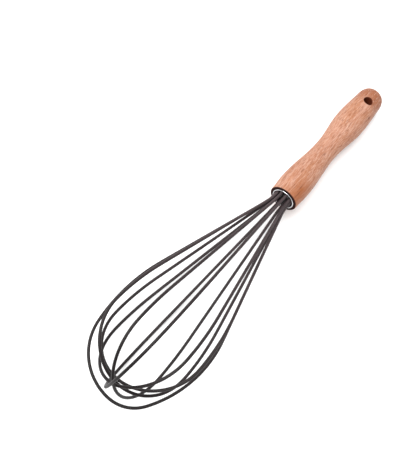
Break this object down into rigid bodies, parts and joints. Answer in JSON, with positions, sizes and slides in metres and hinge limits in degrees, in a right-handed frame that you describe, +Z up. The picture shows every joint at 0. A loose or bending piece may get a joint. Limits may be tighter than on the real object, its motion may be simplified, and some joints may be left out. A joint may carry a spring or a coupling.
{
  "type": "balloon whisk",
  "caption": "Balloon whisk: turned wooden handle with a hanging hole, steel ferrule in its collar, and a head of crossing coated wire loops.",
  "frame": {"origin": "middle of the whisk's footprint, on the surface it lies on", "axes": "+X along the whisk towards the head's tip, +Z up from the surface, +Y to the left seen from the handle. The whisk's own axis rises 5.03 degrees towards the tip because it rests on the handle's rear swelling and on its lowest wire"},
  "size_m": [0.298, 0.0702, 0.0704],
  "materials": {
    "wood": "satin, oiled",
    "steel": "bright, drawn",
    "resin": "cast, dull",
    "core_steel": "drawn spring wire",
    "silicone": "matte, smooth"
  },
  "bodies": {
    "root": {"handle": "wood", "ferrule": "steel", "resin_plug": "resin", "wire_core_1": "core_steel", "wire_core_2": "core_steel", "wire_core_3": "core_steel", "wire_core_4": "core_steel", "wire_core_5": "core_steel", "wire_core_6": "core_steel", "wire_coat_1": "silicone", "wire_coat_2": "silicone", "wire_coat_3": "silicone", "wire_coat_4": "silicone", "wire_coat_5": "silicone", "wire_coat_6": "silicone"}
  },
  "joints": []
}
